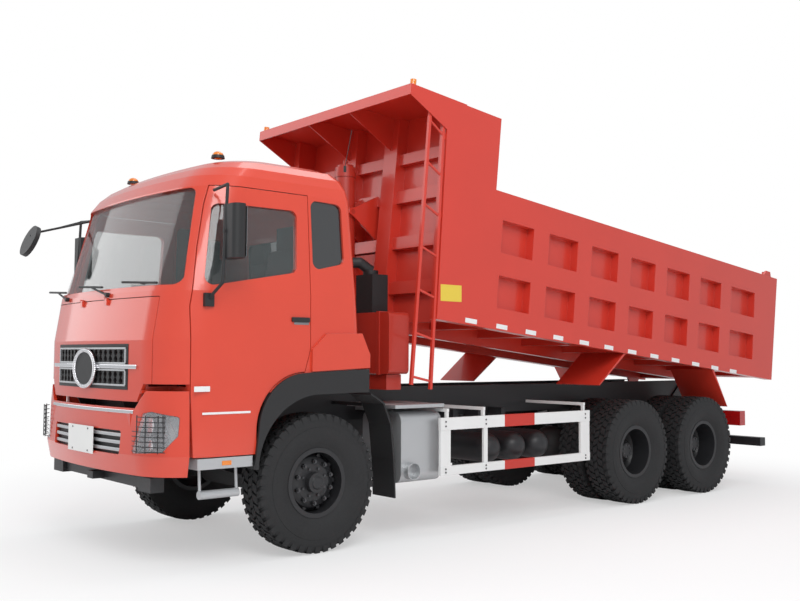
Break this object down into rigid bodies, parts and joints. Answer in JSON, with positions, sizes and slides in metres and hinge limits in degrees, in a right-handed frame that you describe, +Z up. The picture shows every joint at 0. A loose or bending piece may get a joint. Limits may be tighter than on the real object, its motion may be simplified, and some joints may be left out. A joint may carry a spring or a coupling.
{
  "type": "dump truck",
  "caption": "Six-wheeled dump truck with cab over engine, tilting cab, opening doors, front hoist and a ribbed steel bed that tips rearwards",
  "frame": {"origin": "on the ground plane, at the middle of the truck's length and width", "axes": "+Z up, +Y towards the tailgate, -Y the way the truck drives, +X its left side"},
  "size_m": [3.05, 8.7963, 3.9975],
  "materials": {
    "cab_paint": "glossy orange-red",
    "bed_paint": "glossy orange-red",
    "frame_black": "satin black",
    "wheel_black": "satin black",
    "trim_black": "fine grained black plastic",
    "chrome_trim": "bright chrome",
    "tyre_rubber": "matte black rubber",
    "glazing": "clear safety glass",
    "lamp_glass": "clear lamp glass",
    "tail_lamp_red": "red lamp plastic",
    "silver_paint": "silver paint",
    "tank_aluminium": "brushed aluminium",
    "guard_white": "white paint",
    "seat_fabric": "woven dark cloth",
    "dash_plastic": "dark grey plastic",
    "cast_black": "raw dark casting",
    "hoist_steel": "satin red",
    "rod_steel": "ground hard chrome"
  },
  "bodies": {
    "chassis": {"chassis_frame": "frame_black", "front_axle": "cast_black", "rear_axles": "cast_black", "leaf_springs": "frame_black", "engine": "cast_black", "radiator": "tank_aluminium", "muffler": "silver_paint", "air_tanks": "frame_black", "fuel_tank": "tank_aluminium", "side_guards": "guard_white", "hydraulic_tank": "hoist_steel", "air_intake": "trim_black", "mudguards": "trim_black", "steps": "silver_paint", "rear_underrun": "guard_white", "tail_lamps": "tail_lamp_red", "front_underrun": "guard_white", "front_bumper": "cab_paint", "headlamps": "lamp_glass"},
    "cab": {"cab_shell": "cab_paint", "windscreen": "glazing", "cab_windows": "glazing", "wheel_arches": "trim_black", "seats": "seat_fabric", "dashboard": "dash_plastic", "wipers": "trim_black"},
    "steering_wheel": {"steering_wheel": "dash_plastic"},
    "front_lid": {"front_lid": "cab_paint", "grille": "trim_black"},
    "door_l": {"door_l": "cab_paint", "door_glass_l": "glazing", "mirror_l": "trim_black"},
    "door_r": {"door_r": "cab_paint", "door_glass_r": "glazing", "mirror_r": "trim_black"},
    "knuckle_l": {"knuckle_l": "cast_black"},
    "knuckle_r": {"knuckle_r": "cast_black"},
    "bed": {"bed": "bed_paint", "ladder": "bed_paint", "splash_plates": "bed_paint"},
    "tailgate": {"tailgate": "bed_paint"},
    "hoist_cover": {"hoist_cover": "hoist_steel"},
    "hoist_stage_1": {"hoist_stage_1": "rod_steel"},
    "hoist_stage_2": {"hoist_stage_2": "rod_steel"},
    "hoist_stage_3": {"hoist_stage_3": "rod_steel"},
    "wheel_fl": {"tyre_fl": "tyre_rubber", "rim_fl": "wheel_black"},
    "wheel_ml": {"tyre_ml": "tyre_rubber", "rim_ml": "wheel_black"},
    "wheel_rl": {"tyre_rl": "tyre_rubber", "rim_rl": "wheel_black"},
    "wheel_fr": {"tyre_fr": "tyre_rubber", "rim_fr": "wheel_black"},
    "wheel_mr": {"tyre_mr": "tyre_rubber", "rim_mr": "wheel_black"},
    "wheel_rr": {"tyre_rr": "tyre_rubber", "rim_rr": "wheel_black"}
  },
  "joints": [
    {"name": "steer_l", "type": "hinge", "parent": "chassis", "child": "knuckle_l", "pos_m": [0.86, -2.885, 0.562], "axis": [0, 0, 1], "range_deg": [-35, 35]},
    {"name": "steer_r", "type": "hinge", "parent": "chassis", "child": "knuckle_r", "pos_m": [-0.86, -2.885, 0.562], "axis": [0, 0, 1], "range_deg": [-35, 35]},
    {"name": "wheel_fl_spin", "type": "hinge", "parent": "knuckle_l", "child": "wheel_fl", "pos_m": [1.0185, -2.885, 0.562], "axis": [1, 0, 0], "continuous": true},
    {"name": "wheel_ml_spin", "type": "hinge", "parent": "chassis", "child": "wheel_ml", "pos_m": [0.912, 1.315, 0.562], "axis": [1, 0, 0], "continuous": true},
    {"name": "wheel_rl_spin", "type": "hinge", "parent": "chassis", "child": "wheel_rl", "pos_m": [0.912, 2.645, 0.562], "axis": [1, 0, 0], "continuous": true},
    {"name": "wheel_fr_spin", "type": "hinge", "parent": "knuckle_r", "child": "wheel_fr", "pos_m": [-1.0185, -2.885, 0.562], "axis": [1, 0, 0], "continuous": true},
    {"name": "wheel_mr_spin", "type": "hinge", "parent": "chassis", "child": "wheel_mr", "pos_m": [-0.912, 1.315, 0.562], "axis": [1, 0, 0], "continuous": true},
    {"name": "wheel_rr_spin", "type": "hinge", "parent": "chassis", "child": "wheel_rr", "pos_m": [-0.912, 2.645, 0.562], "axis": [1, 0, 0], "continuous": true},
    {"name": "cab_tilt", "type": "hinge", "parent": "chassis", "child": "cab", "pos_m": [0, -4.245, 1.3], "axis": [1, 0, 0], "range_deg": [0, 45]},
    {"name": "steering_turn", "type": "hinge", "parent": "cab", "child": "steering_wheel", "pos_m": [0.7, -3.685, 2.06], "axis": [0, 0.45, 0.893], "range_deg": [-630, 630]},
    {"name": "front_lid_lift", "type": "hinge", "parent": "cab", "child": "front_lid", "pos_m": [0, -4.309, 2.028], "axis": [-1, 0, 0], "range_deg": [0, 70]},
    {"name": "door_l_swing", "type": "hinge", "parent": "cab", "child": "door_l", "pos_m": [1.19, -4.067, 1.6], "axis": [0, 0, -1], "range_deg": [0, 70]},
    {"name": "door_r_swing", "type": "hinge", "parent": "cab", "child": "door_r", "pos_m": [-1.19, -4.067, 1.6], "axis": [0, 0, 1], "range_deg": [0, 70]},
    {"name": "bed_tilt", "type": "hinge", "parent": "chassis", "child": "bed", "pos_m": [0, 3.465, 1.2], "axis": [-1, 0, 0], "range_deg": [-6, 42]},
    {"name": "tailgate_swing", "type": "hinge", "parent": "bed", "child": "tailgate", "pos_m": [0, 4.29283, 2.6665], "axis": [1, 0, 0], "range_deg": [0, 50]},
    {"name": "hoist_swing", "type": "hinge", "parent": "bed", "child": "hoist_cover", "pos_m": [0, -1.765, 3], "axis": [1, 0, 0], "range_deg": [-3, 16.5]},
    {"name": "hoist_slide_1", "type": "slide", "parent": "hoist_cover", "child": "hoist_stage_1", "axis": [0, 0, -1], "range_m": [-0.18, 1.22]},
    {"name": "hoist_slide_2", "type": "slide", "parent": "hoist_stage_1", "child": "hoist_stage_2", "axis": [0, 0, -1], "range_m": [-0.18, 1.22]},
    {"name": "hoist_slide_3", "type": "slide", "parent": "hoist_stage_2", "child": "hoist_stage_3", "axis": [0, 0, -1], "range_m": [-0.18, 1.22]}
  ],
  "couplings": [
    {"joint": "steer_r", "follows": "steer_l", "ratio": 1},
    {"joint": "steering_turn", "follows": "steer_l", "ratio": 18},
    {"joint": "hoist_swing", "follows": "bed_tilt", "ratio": 0.376},
    {"joint": "hoist_slide_1", "follows": "bed_tilt", "m_per_rad": 1.65},
    {"joint": "hoist_slide_2", "follows": "bed_tilt", "m_per_rad": 1.65},
    {"joint": "hoist_slide_3", "follows": "bed_tilt", "m_per_rad": 1.65}
  ]
}
